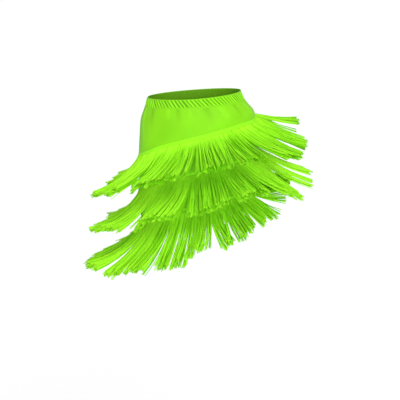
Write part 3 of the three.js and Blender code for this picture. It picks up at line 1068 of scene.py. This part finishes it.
class Strands:
    """One tier's strands, uneven by locks, by tufts and one by one. The order of its draws is fixed."""

    def __init__(self, tier):
        self.tier = tier
        self.rng = np.random.default_rng(FIRST_SEED + tier)
        order = np.arange(STRANDS)
        place = order + 0.5 + PLACE_UNEVEN * (self.rng.random(STRANDS) - 0.5)
        self.turn = arc_turns(tier, place / STRANDS)
        edges = lock_edges(tier, self.rng)
        bounds = wrap_round(edges, 1, FULL_TURN)
        which = np.searchsorted(bounds, self.turn, side="right") - 1
        self.locks = len(edges)
        self.lock = which % self.locks
        self.centre = np.mod((bounds[which] + bounds[which + 1]) / 2, FULL_TURN)
        self.group = np.arange(self.locks) // LOCKS_A_GROUP
        self.tuft = order // STRANDS_A_TUFT
        self.tufts = self.tuft[-1] + 1

    def normal(self, count, limit):
        return self.rng.standard_normal(count).clip(-limit, limit)

    def by_lock(self, size):
        """Uneven values for the locks, partly shared by those of one group."""
        shared = self.normal(self.locks, LOCK_LIMIT)[self.group]
        return size * (GROUP_SHARE * shared + LOCK_OWN_SHARE * self.normal(self.locks, LOCK_LIMIT))

    def by_tuft(self, size, own=STRAND_OWN_SHARE):
        """Uneven values for the strands, mostly shared by those of one tuft."""
        shared = self.normal(self.tufts, TUFT_LIMIT)[self.tuft]
        return size * (shared + own * self.rng.standard_normal(STRANDS))

    def tufts_below(self, share):
        """Which strands belong to a random share of the tufts."""
        return (self.rng.random(self.tufts) < share)[self.tuft]

    def swing(self):
        """Points and headings of the strands, each drawn toward the middle of its lock. It comes first,
        as it also draws the curl and which strands lie under the others."""
        lock_lift = self.by_lock(LOCK_LIFT)
        lock_aside = self.by_lock(LOCK_ASIDE)
        lock_length = 1 - LOCK_SHORTER * self.rng.random(self.locks)
        lock_pull = LOCK_PULL[self.tier] + LOCK_PULL_UNEVEN * self.rng.random(self.locks)
        self.curl = self.by_lock(LOCK_CURL)[self.lock]
        self.under = self.tufts_below(UNDER_SHARE[self.tier])
        stray = self.tufts_below(STRAY_SHARE)
        lift = lock_lift[self.lock] + self.by_tuft(TUFT_LIFT) * np.where(stray, STRAY_LIFT, 1.0)
        lift -= self.under * (UNDER_DROP + UNDER_DROP_AHEAD * np.sin(self.turn) ** 2)
        aside = lock_aside[self.lock] + self.by_tuft(TUFT_ASIDE) * np.where(stray, STRAY_ASIDE, 1.0)
        aside += UNDER_ASIDE * self.under * self.rng.standard_normal(STRANDS)
        shorter = TUFT_SHORTER * self.rng.random(self.tufts)[self.tuft] ** 2
        share = lock_length[self.lock] * (LONGEST - shorter - STRAND_SHORTER * self.rng.random(STRANDS))
        own, heading = swing_path(self.tier, self.turn, lift, aside, share)
        middle, _ = swing_path(self.tier, self.centre, lift, aside, share)
        pull = np.where(stray | self.under, LOOSE_PULL, lock_pull[self.lock])[:, None]
        pull = pull * soft_step(*PULL_GROWS, KNOTS) * (1 - PULL_EASED * soft_step(*PULL_EASES, KNOTS))
        return between(own, middle, pull[..., None]), heading

    def spread_out(self, points, heading):
        """The points moved across and out by each strand's place in the fringe and its waves."""
        across = np.stack((-np.sin(heading), np.cos(heading), np.zeros_like(heading)), -1)
        across, out = frames_along(points, across)
        out *= np.where(out[:, :1, 2:3] < 0, -1, 1)
        grow = soft_step(0, GROWN_AT, KNOTS)
        under = self.under[:, None]
        layer = self.by_tuft(1.0, LAYER_OWN_SHARE).clip(-LAYER_LIMIT, LAYER_LIMIT)[:, None]
        spread = self.normal(STRANDS, SPREAD_LIMIT)[:, None]
        phase = FULL_TURN * self.rng.random(STRANDS)[:, None]
        rise = layer * (LAYER_AT_ROOT + LAYER_GROWS * grow)
        rise = rise + np.where(under, -UNDER_SINK, UPPER_RISE) * grow
        wave = self.curl[:, None] * np.sin(math.pi * CURL_REACH * KNOTS) * KNOTS
        wave = wave + STRAND_WAVE * grow * np.sin(STRAND_WAVES * KNOTS + phase)
        shift = spread * (SPREAD_AT_ROOT + np.where(under, UNDER_SPREAD, UPPER_SPREAD) * grow) + wave
        return points + across * shift[..., None] + out * rise[..., None], across

    def radii(self):
        thickness = LEAST_THICKNESS + THICKNESS_UNEVEN * self.rng.random(STRANDS)
        thickness += UNDER_THICKER * self.under
        return STRAND_RADIUS * (1 - TIP_THINNER * KNOTS) * thickness[:, None]

    def tones_and_painted_light(self):
        """Strand lightness 0 to 1: random by lock and tuft, painted shade underneath, painted light at the
        root.
        """
        lock_tone = LOCK_TONE * self.normal(self.locks, LOCK_TONE_LIMIT)[self.lock]
        # Painted light on the lower tiers, and painted light and shade on the wearer's left side
        tone_and_painted_light = TONE + TIER_PAINTED_LIGHT[self.tier] + lock_tone + self.by_tuft(TUFT_TONE) - UNDER_PAINTED_SHADE * self.under
        tone_and_painted_light += LEFT_SIDE_PAINTED_LIGHT[self.tier] * np.cos(self.turn).clip(0, 1)
        return np.clip(tone_and_painted_light[:, None] + ROOT_PAINTED_LIGHT * (1 - soft_step(*ROOT_PAINTED_LIGHT_ENDS, KNOTS)), 0, 1)


def fringe(tier):
    """A tier's strands as one mesh: thin three-sided cords with closed ends."""
    strands = Strands(tier)
    points, across = strands.spread_out(*strands.swing())
    radius, tone_and_painted_light = strands.radii(), strands.tones_and_painted_light()
    across, out = frames_along(points, across)
    rings = ring_points(points, radius[..., None], across, out, STRAND_SIDES, offset=0.25)
    first = (np.arange(STRANDS) * len(KNOTS) * STRAND_SIDES)[:, None, None]
    faces = (grid_faces(len(KNOTS), STRAND_SIDES, False, True)[None] + first).reshape(-1, 4)
    tip = (len(KNOTS) - 1) * STRAND_SIDES
    caps = (np.array([[0, 2, 1], [tip, tip + 1, tip + 2]])[None] + first).reshape(-1, 3)
    uv = np.empty(rings.shape[:-1] + (2,))
    uv[..., 0] = np.arange(STRAND_SIDES) / STRAND_SIDES
    uv[..., 1] = lengths_along(points)[:, :, None] * MM
    # Mask of the tip rings, which take painted shade
    end_painted_shade_mask = np.tile(np.repeat((KNOTS == 1).astype(float), STRAND_SIDES), STRANDS)
    attributes = {"tone_and_painted_light": np.repeat(tone_and_painted_light.ravel(), STRAND_SIDES), "end_painted_shade": end_painted_shade_mask}
    name = f"fringe_{tier + 1}_strands"
    obj = new_object(name, rings.reshape(-1, 3), faces, caps, attributes, uv.reshape(-1, 2))
    obj.data.materials.append(CHAINETTE)
    return obj


# The pieces in the frame


def join_frame(obj, slot, *replaced):
    """A piece that rides on the body, with the CAD nodes that it stands for hidden; the slot is not used."""
    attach(obj, "root")
    if replaced:
        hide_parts(*replaced)
    return obj


band = join_frame(waistband(), "waistband_knit", "waistband")
band_thread = join_frame(band_stitching(), "waistband_knit")
back = join_frame(panel("back_panel_knit", 0.0), "body_knit", "back_panel")
front = join_frame(panel("front_panel_knit", math.pi), "body_knit", "front_panel")
for tier in range(TIERS):
    node = f"fringe_tier_{tier + 1}"
    join_frame(tape(tier), "chainette_fringe", node)
    join_frame(tape_stitching(tier), "chainette_fringe", node)
    join_frame(fringe(tier), "chainette_fringe", node)


# Stage, light and camera, in metres

FLOOR_HEIGHT = -2.2
FLOOR_HALF = 500.0
FLOOR_WHITE = (0.94, 0.94, 0.94, 1)
SKY_WHITE = (1, 1, 1, 1)
SKY_STRENGTH = 0.79
CAMERA_PLACE = Vector((0, -2.97568, 0.38119))
CAMERA_TARGET = Vector((-0.001515, 0, -0.29030))
CAMERA_LENS = 96.43
CAMERA_SENSOR = 36
CAMERA_ROLL = 3.4
CAMERA_SIGHT = 2000


def floor():
    half = FLOOR_HALF
    corners = [(-half, -half), (half, -half), (half, half), (-half, half)]
    mesh = bpy.data.meshes.new("floor")
    mesh.from_pydata([(x, y, FLOOR_HEIGHT) for x, y in corners], [], [(0, 1, 2, 3)])
    obj = bpy.data.objects.new("floor", mesh)
    bpy.context.scene.collection.objects.link(obj)
    nodes = Nodes("floor_white")
    nodes.set(nodes.shader, Base_Color=FLOOR_WHITE, Roughness=0.9, Specular_IOR_Level=0.1)
    mesh.materials.append(nodes.material)


def sun(name, towards, strength, softness):
    light = bpy.data.lights.new(name, "SUN")
    light.energy = strength
    light.angle = math.radians(softness)
    obj = bpy.data.objects.new(name, light)
    bpy.context.scene.collection.objects.link(obj)
    obj.rotation_euler = Vector(towards).to_track_quat("-Z", "Y").to_euler()


def sky():
    world = bpy.data.worlds.new("studio_white")
    bpy.context.scene.world = world
    world.use_nodes = True
    world.node_tree.nodes["Background"].inputs["Color"].default_value = SKY_WHITE
    world.node_tree.nodes["Background"].inputs["Strength"].default_value = SKY_STRENGTH


def camera():
    data = bpy.data.cameras.new("camera")
    data.sensor_width = CAMERA_SENSOR
    data.lens = CAMERA_LENS
    data.clip_end = CAMERA_SIGHT
    obj = bpy.data.objects.new("camera", data)
    bpy.context.scene.collection.objects.link(obj)
    turn = (CAMERA_TARGET - CAMERA_PLACE).to_track_quat("-Z", "Y").to_matrix().to_4x4()
    roll = Matrix.Rotation(math.radians(-CAMERA_ROLL), 4, "Z")
    obj.matrix_world = Matrix.Translation(CAMERA_PLACE) @ turn @ roll
    bpy.context.scene.camera = obj


floor()
sky()
sun("key", towards=(-0.3, 1.0, -0.68), strength=1.2, softness=22)
sun("front_fill", towards=(-0.12, 1.0, -0.12), strength=2.02, softness=30)
camera()
bpy.context.scene.view_settings.view_transform = "Standard"
